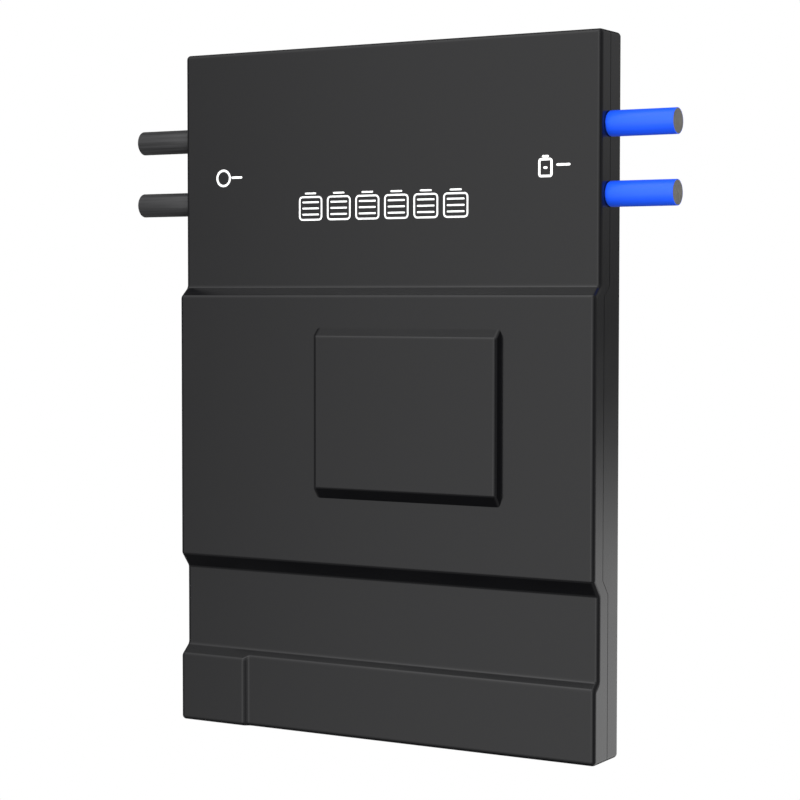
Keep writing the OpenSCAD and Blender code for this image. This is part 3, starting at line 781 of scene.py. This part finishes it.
def pins(low, high, count, taper):
    """Row of socket pins: a square bar with a tapered tip, that runs back and bends down to the board."""
    h, ease, bend, chamfer, tip = PIN_SIZE / 2, 0.1, 0.7, 0.06, 0.5
    z, back = high[2] - h, high[1] - h
    path = bent_path([(low[1], z), (low[1] + taper, z), (back, z), (back, low[2])], [ease, bend])
    pin = leg(*path, h, h, chamfer, taper, tip)
    return [placed(pin, x, 0, 0) for x in np.linspace(low[0] + h, high[0] - h, count)]


# Parts on the board

# Transistor package: length of the tab and of the body, height and inset of the tab, place of the legs
TAB_L, BODY_L, TAB_H, TAB_INSET, LEG_X = 1.3, 8.9, 1.3, 0.3, 2.54
# Chip: reach of the pins past its body, gap under its body, pin pitch, and pins a side of each chip
CHIP_REACH, CHIP_GAP, CHIP_PITCH = 1.0, 0.1, 0.5
CHIP_PINS = {"monitor_chip": 12, "controller_chip": 8}
# Share of a resistor's or shunt's length that each end cap takes
CAP_SHARE = {"bleed_resistor": 0.12, "thermistor": 0.18, "shunt_resistor": 0.24}
# Capacitor: height of the foot, radius of the can
FOOT_H, CAN_R = 0.9, 3.15


def transistor(low, high, side, bevel):
    """Flat power package as body, tab and two bent legs, which point to +Y or -Y by side."""
    half_w, half_t, bend, chamfer, tab_bevel = 0.4, 0.25, 0.6, 0.05, 0.1
    _, length, height = high - low
    cx, start = (low[0] + high[0]) / 2, low[1] if side > 0 else high[1]
    y = [start + side * run for run in (0, TAB_L, TAB_L + BODY_L)]
    body = block((low[0], min(y[1:]), low[2]), (high[0], max(y[1:]), high[2]), bevel)
    tab_end = y[1] + side * bevel
    tab = block((low[0] + TAB_INSET, min(y[0], tab_end), low[2]),
                (high[0] - TAB_INSET, max(y[0], tab_end), low[2] + TAB_H), tab_bevel)
    reach, level = length - TAB_L - BODY_L, height / 2 + half_t
    out = reach / 2 - half_t
    path = bent_path([(-bevel, level), (out, level), (out, half_t), (reach, half_t)], [bend, bend])
    bent = leg(*path, half_w, half_t, chamfer)
    legs = [placed(bent, cx + x, y[2], low[2], 0 if side > 0 else 2) for x in (-LEG_X, LEG_X)]
    return [body], [tab, *legs]


def chip(low, high, count, bevel):
    """Square chip as body and bent pins: one row of pins, turned four times about the middle."""
    size, height = (high[0] - low[0]) / 2 - CHIP_REACH, high[2] - low[2]
    cx, cy = (low + high)[:2] / 2
    body = block((cx - size, cy - size, low[2] + CHIP_GAP), (cx + size, cy + size, high[2]), bevel)
    half_w, half_t, bend, knee = 0.125, 0.075, 0.1, 0.225
    path = bent_path([
        (size - bevel, height / 2), (size + knee, height / 2),
        (size + knee, half_t), (size + CHIP_REACH, half_t),
    ], [bend, bend], steps=3)
    bent = leg(*path, half_w, half_t)
    row = (np.arange(count) - (count - 1) / 2) * CHIP_PITCH
    return [body], [placed(bent + [x, 0, 0], cx, cy, low[2], k) for k in range(4) for x in row]


def capped(low, high, share, bevel):
    """Block along Y with an end cap over each end, as body and caps; the body lies a hair inside the caps."""
    hair, joined = 0.03, 0.1
    length = share * (high[1] - low[1])
    inset = np.array([hair, length - joined, hair])
    body = block(low + inset, high - inset, bevel)
    near, far = high.copy(), low.copy()
    near[1], far[1] = low[1] + length, high[1] - length
    return [body], [block(low, near, bevel), block(far, high, bevel)]


def capacitor(low, high):
    """Can capacitor as foot and can: the can is a turned profile with a bead near its foot and a sunk top."""
    bead, skirt, edge, rim, slope, sunk = 0.25, 0.5, 0.45, 0.2, 0.1, 0.12
    joined, bevel = 0.1, 0.12
    cx, cy = (low + high)[:2] / 2
    z0, z1, inner = low[2] + FOOT_H, high[2], CAN_R - edge - rim
    foot = block(low, (high[0], high[1], z0), bevel)
    profile = np.concatenate([
        [[0, z0 - joined], [CAN_R, z0 - joined], [CAN_R, z0 + skirt]],
        arc(CAN_R, z0 + skirt + bead, bead, 270, 90, 9),
        [[CAN_R, z1 - edge]], arc(CAN_R - edge, z1 - edge, edge, 0, 90, 6),
        [[inner, z1], [inner - slope, z1 - sunk], [0, z1 - sunk]],
    ])
    verts, quads = grid_surface(turned(profile, around(48)))
    return [foot], [(verts + [cx, cy, 0], quads)]


# Operators


def coat(slot, material):
    """Puts a material on every CAD node of a slot."""
    names = [name for name, its_slot in SLOTS.items() if its_slot == slot]
    if not names:
        raise RuntimeError(f"no node takes its finish from {slot}")
    for name in names:
        for place in frame["nodes"][name].material_slots:
            place.material = material


def numbered(kind):
    """CAD nodes that share a name and differ in their number."""
    names = [name for name in SLOTS if name.rstrip("0123456789") == kind + "_"]
    if not names:
        raise RuntimeError(f"no node is named {kind}")
    return names


class BOARD_OT_inside(bpy.types.Operator):
    """Give the board, its strips, the heat pads and the spreader their finishes"""

    bl_idname = "board.inside"
    bl_label = "Board and heat path"

    def execute(self, context):
        coat("board_laminate", masked_laminate())
        coat("tinned_copper", tinned_copper())
        coat("heat_pad", silicone_pad())
        coat("bare_aluminium", milled_aluminium())
        return {"FINISHED"}


class BOARD_OT_transistors(bpy.types.Operator):
    """Make the power transistors with their tabs and legs"""

    bl_idname = "board.transistors"
    bl_label = "Power transistors"

    def execute(self, context):
        bevel = context.scene.board_parts.package_bevel / MM
        names = numbered("power_transistor")
        boxes = [box_mm(name) for name in names]
        middle = np.mean([(low + high)[1] / 2 for low, high in boxes])
        for name, (low, high) in zip(names, boxes):
            body, metal = transistor(low, high, 1 if low[1] > middle else -1, bevel)
            new_piece(f"{name}_package", [(moulded_epoxy(), body), (tinned_copper(), metal)], [name])
        return {"FINISHED"}


class BOARD_OT_chips(bpy.types.Operator):
    """Make the two chips with their pins"""

    bl_idname = "board.chips"
    bl_label = "Chips"

    def execute(self, context):
        bevel = context.scene.board_parts.chip_bevel / MM
        for name, count in CHIP_PINS.items():
            body, metal = chip(*box_mm(name), count, bevel)
            new_piece(f"{name}_package", [(moulded_epoxy(), body), (tinned_copper(), metal)], [name])
        return {"FINISHED"}


class BOARD_OT_resistors(bpy.types.Operator):
    """Make the bleed resistors, the thermistor and the shunts with their end caps"""

    bl_idname = "board.resistors"
    bl_label = "Resistors"

    def execute(self, context):
        bevel = context.scene.board_parts.chip_bevel / MM
        for kind, share in CAP_SHARE.items():
            body_finish = rolled_manganin() if kind == "shunt_resistor" else fired_alumina()
            for name in [kind] if kind in SLOTS else numbered(kind):
                body, caps = capped(*box_mm(name), share, bevel)
                new_piece(f"{name}_capped", [(body_finish, body), (tinned_copper(), caps)], [name])
        return {"FINISHED"}


class BOARD_OT_capacitors(bpy.types.Operator):
    """Make the can capacitors"""

    bl_idname = "board.capacitors"
    bl_label = "Capacitors"

    def execute(self, context):
        for name in numbered("smoothing_capacitor"):
            foot, can = capacitor(*box_mm(name))
            new_piece(f"{name}_can", [(drawn_aluminium(), can), (moulded_epoxy(), foot)], [name])
        return {"FINISHED"}


class BOARD_OT_case(bpy.types.Operator):
    """Give the two moulded shells their finish"""

    bl_idname = "board.case"
    bl_label = "Case finish"

    def execute(self, context):
        coat("case_plastic", moulded_abs(context.scene.board_case))
        return {"FINISHED"}


class BOARD_OT_print(bpy.types.Operator):
    """Print the white marks on the lead section"""

    bl_idname = "board.print"
    bl_label = "Printed marks"

    def execute(self, context):
        looks = context.scene.board_print
        width, height = looks.stroke / MM, looks.height / MM
        low, high = box_mm("front_cover")
        leads = (box_mm("cell_lead_1")[1][1] + box_mm("cell_lead_2")[0][1]) / 2
        ring_x, cell_x = low[0] + RING_IN, high[0] - CELL_IN
        marks = [
            ring(ring_x, leads - RING_DROP, RING_R, width, height),
            *cell_sign(cell_x, leads - CELL_DROP, CELL_W, CELL_H, width, height, levels=1),
        ]
        for x, (start, stop, drop) in ((ring_x, RING_DASH), (cell_x, CELL_DASH)):
            marks.append(bar(x + start, x + stop, leads - drop, width, height))
        row_y, pitch = leads - ROW_DROP, ROW_W / looks.signs
        for k in range(looks.signs):
            x = ROW_X - ROW_W / 2 + (k + 0.5) * pitch
            marks += cell_sign(x, row_y, ROW_FILL * pitch, ROW_H, ROW_STROKE * width, height, levels=3)
        front = front_height(ROW_X, row_y)
        new_piece("printed_marks", [(printed_ink(looks), [(v + [0, 0, front], q) for v, q in marks])])
        return {"FINISHED"}


class BOARD_OT_leads(bpy.types.Operator):
    """Make the insulation and the conductors of the four leads"""

    bl_idname = "board.leads"
    bl_label = "Leads"

    def execute(self, context):
        looks = context.scene.board_leads
        lip = looks.lip / MM
        blue, black = "insulation_extruded_blue", "insulation_extruded_black"
        cover = {
            "cell": extruded_insulation(blue, looks.cell_colour, rough=0.4, streak=0.06),
            "load": extruded_insulation(black, looks.load_colour, rough=0.38, streak=0.3),
        }
        case_x = box_mm("front_cover")[1][0]
        strip_z = box_mm("cell_strip")[1][2]
        for kind, side in (("cell", 1), ("load", -1)):
            for lead, core in zip(numbered(f"{kind}_lead"), numbered(f"{kind}_core")):
                (low, high), (core_low, core_high) = box_mm(lead), box_mm(core)
                x_in, x_out = sorted(np.abs([low[0], high[0]]))
                y, z = (low + high)[1:] / 2
                full, round_r = (high[2] - low[2]) / 2, (core_high[2] - core_low[2]) / 2
                tail_w = (core_high[1] - core_low[1]) / 2
                tail_x = min(np.abs([core_low[0], core_high[0]]))
                tail_h = math.pi * round_r**2 / (4 * tail_w)
                radii = (round_r, full - NIP_DEPTH, full)
                number = lead[-1]
                new_piece(f"{kind}_lead_jacket_{number}", [
                    (cover[kind], [jacket(side, x_in, case_x + NIP_OUT, x_out, y, z, radii, lip)]),
                ], [lead])
                tail = (tail_w, tail_h, strip_z + tail_h)
                new_piece(f"{kind}_lead_strands_{number}", [
                    (tinned_strands(), [conductor(side, tail_x, x_in - BARE, x_out, y, z, round_r,
                                                  full - lip - RIM, tail, looks.strand / MM)]),
                ], [core])
        return {"FINISHED"}


class BOARD_OT_screws(bpy.types.Operator):
    """Make the four case screws with their recesses and threads"""

    bl_idname = "board.screws"
    bl_label = "Case screws"

    def execute(self, context):
        pitch = context.scene.board_fixings.thread_pitch / MM
        low, high = box_mm("case_screws")
        first, last = low + HEAD_R, high - HEAD_R
        places = [(x, y) for x in (first[0], last[0]) for y in (first[1], last[1])]
        screws = [screw(x, y, low[2], high[2], pitch) for x, y in places]
        new_piece("case_screw_set", [(headed_steel(), screws)], ["case_screws"])
        return {"FINISHED"}


class BOARD_OT_sockets(bpy.types.Operator):
    """Make the socket shells and their pins"""

    bl_idname = "board.sockets"
    bl_label = "Sockets"

    def execute(self, context):
        looks = context.scene.board_fixings
        for kind, count in PIN_COUNTS.items():
            low, high = box_mm(f"{kind}_socket")
            shell = [shroud(low, high, looks.socket_lip / MM), *keys(low, high)]
            new_piece(f"{kind}_socket_shell", [(moulded_nylon(looks), shell)], [f"{kind}_socket"])
            row = pins(*box_mm(f"{kind}_pins"), count, looks.pin_taper / MM)
            new_piece(f"{kind}_pins_formed", [(plated_brass(looks), row)], [f"{kind}_pins"])
        return {"FINISHED"}


# Stage

# Light by direction: numbers, ramps of (axis, start, stop, value before, value after) and operations on them.
# Bank over the load side: brightest near the zenith, dimmer to the left, gone on the far right
BANK = (
    "MULTIPLY",
    ("ADD", ("x", -0.74, -0.56, 0, 0.64), ("x", -0.62, -0.46, 0, 0.45), ("x", -0.44, -0.2, 0, 0.45),
     ("x", -0.18, 0.3, 0, -0.85), ("x", 0.45, 0.75, 0, -0.66)),
    ("y", -0.62, -0.28, 0, 1), ("y", 0.1, 0.4, 1, 1.1), ("y", 0.65, 0.85, 1, 1.55), ("z", -0.05, 0.25, 0, 1),
    ("ADD", 1, ("MULTIPLY", ("x", -0.35, -0.1, 0, -0.75), ("y", 0.5, 0.7, 0, 1))),
)
# Low reflector on the cell side: dim beside the leads, bright past the middle of the case
REFLECTOR = (
    "MULTIPLY", ("ADD", ("y", -0.14, -0.05, 1.33, 0.11), ("y", 0, 0.1, 0, 0.2)),
    ("x", 0.05, 0.25, 0, 1), ("z", -0.5, -0.3, 1, 0),
)
# Dim band round the horizon, open where the slopes across the case look
HORIZON = (
    "MULTIPLY",
    ("ADD", 0.2, ("MULTIPLY", ("x", -0.95, -0.8, 0, -0.2), ("x", -0.3, -0.1, 1, 0), ("far", 0.7, 0.82, 0, 1),
                  ("z", 0.2, 0.4, 1, 0))),
    ("z", -0.75, -0.5, 0, 1), ("z", 0.5, 0.8, 1, 0),
)
AIR = 0.03


def light_level(tree, axes, term):
    """Number or socket for a light term: a ramp is one node, an operation one for each further term."""
    if not isinstance(term, tuple):
        return term
    head, *rest = term
    if head in axes:
        ramp = dict(zip(RAMP, (axes[head], *rest)))
        return add(tree, "ShaderNodeMapRange", ramp, {"interpolation_type": "SMOOTHSTEP"}).outputs[0]
    result, *others = [light_level(tree, axes, part) for part in rest]
    for other in others:
        result = add(tree, "ShaderNodeMath", {0: result, 1: other}, {"operation": head}).outputs[0]
    return result


def softbox(scene, name, back, size, power):
    """Square softbox in the direction back, which faces the board and isn't mirrored in it."""
    distance = 1.5
    light = bpy.data.lights.new(name, "AREA")
    light.shape, light.size, light.energy = "SQUARE", size, power
    box = bpy.data.objects.new(name, light)
    scene.collection.objects.link(box)
    box.visible_glossy = False
    w = np.array(back) / np.linalg.norm(back)
    u = np.cross([0, 1, 0], w)
    u /= np.linalg.norm(u)
    turn = Matrix(np.stack([u, np.cross(w, u), w], -1).tolist()).to_4x4()
    box.matrix_world = Matrix.Translation((distance * w).tolist()) @ turn


def add_light(scene, looks):
    """Two softboxes on the cell side, and a studio of soft banks drawn by direction in the world."""
    softbox(scene, "lead_end_softbox", back=(0.45, 0.55, 0.7), size=1.4, power=looks.key_power)
    softbox(scene, "socket_end_softbox", back=(0.5, -0.5, 0.7), size=1.2, power=looks.fill_power)
    world = bpy.data.worlds.new("studio")
    scene.world = world
    world.use_nodes = True
    tree = world.node_tree
    tree.nodes.clear()
    way = add(tree, "ShaderNodeTexCoord").outputs["Generated"]
    axes = dict(zip("xyz", add(tree, "ShaderNodeSeparateXYZ", {0: way}).outputs))
    axes["far"] = add(tree, "ShaderNodeMath", {0: axes["y"]}, {"operation": "ABSOLUTE"}).outputs[0]
    strength = light_level(tree, axes, ("ADD", BANK, REFLECTOR, HORIZON, AIR))
    background = add(tree, "ShaderNodeBackground", {"Color": (1, 1, 1), "Strength": strength})
    add(tree, "ShaderNodeOutputWorld", {"Surface": background.outputs[0]})


def add_floor(scene, looks):
    """Pale floor that rises to a wall: radius and height turned about Z, seen by the camera alone."""
    material, tree = new_material("opal_floor_lit_from_below")
    lit = add(tree, "ShaderNodeEmission", {"Color": looks.floor_colour, "Strength": 1.0})
    add(tree, "ShaderNodeOutputMaterial", {"Surface": lit.outputs[0]})
    level, flat, bend, wall = -0.02, 2200, 800, 2400
    profile = np.concatenate([
        [[0, level], [flat / 2, level]], arc(flat, level + bend, bend, -90, 0, 13), [[flat + bend, wall]],
    ])
    verts, quads = grid_surface(turned(profile, around(96)))
    mesh = bpy.data.meshes.new("floor")
    mesh.from_pydata((verts * MM).tolist(), [], quads.tolist())
    mesh.materials.append(material)
    floor = bpy.data.objects.new("floor", mesh)
    scene.collection.objects.link(floor)
    floor.visible_diffuse = floor.visible_glossy = floor.visible_shadow = False


def add_camera(scene, looks):
    """Camera at the photograph's place: over the case, turned about X, Y and Z until the case's edges fit."""
    place, degrees = np.array([246.25, 20.76, 424.09]) * MM, (-2.597, 30.268, 0.064)
    camera = bpy.data.cameras.new("camera")
    camera.lens, camera.sensor_width = looks.lens, 36
    camera.clip_start, camera.clip_end = 0.01, 20
    eye = bpy.data.objects.new("camera", camera)
    scene.collection.objects.link(eye)
    turn = Euler(np.radians(degrees).tolist()).to_matrix().to_4x4()
    eye.matrix_world = Matrix.Translation(place.tolist()) @ turn
    scene.camera = eye


class BOARD_OT_stage(bpy.types.Operator):
    """Set the floor, the light and the camera"""

    bl_idname = "board.stage"
    bl_label = "Stage"

    def execute(self, context):
        scene = context.scene
        looks = scene.board_stage
        add_floor(scene, looks)
        add_light(scene, looks)
        add_camera(scene, looks)
        scene.view_settings.view_transform = "Standard"
        return {"FINISHED"}


# Panel and registration

OPERATORS = (
    BOARD_OT_inside, BOARD_OT_transistors, BOARD_OT_chips, BOARD_OT_resistors, BOARD_OT_capacitors,
    BOARD_OT_case, BOARD_OT_print, BOARD_OT_leads, BOARD_OT_screws, BOARD_OT_sockets, BOARD_OT_stage,
)


class BOARD_PT_panel(bpy.types.Panel):
    """Steps that dress the board, with their settings"""

    bl_idname = "BOARD_PT_panel"
    bl_label = "Protection Board"
    bl_space_type = "VIEW_3D"
    bl_region_type = "UI"
    bl_category = "Board"

    def draw(self, context):
        for operator in OPERATORS:
            self.layout.operator(operator.bl_idname)
        for name, group in GROUPS.items():
            column = self.layout.column(heading=group.__doc__)
            for key in group.__annotations__:
                column.prop(getattr(context.scene, name), key)


CLASSES = (*GROUPS.values(), *OPERATORS, BOARD_PT_panel)


def register():
    for cls in CLASSES:
        bpy.utils.register_class(cls)
    for name, group in GROUPS.items():
        setattr(bpy.types.Scene, name, bpy.props.PointerProperty(type=group))


def unregister():
    for name in GROUPS:
        delattr(bpy.types.Scene, name)
    for cls in reversed(CLASSES):
        bpy.utils.unregister_class(cls)


def main():
    register()
    bpy.ops.board.inside()
    bpy.ops.board.transistors()
    bpy.ops.board.chips()
    bpy.ops.board.resistors()
    bpy.ops.board.capacitors()
    bpy.ops.board.case()
    bpy.ops.board.print()
    bpy.ops.board.leads()
    bpy.ops.board.screws()
    bpy.ops.board.sockets()
    bpy.ops.board.stage()


if __name__ == "__main__":
    main()
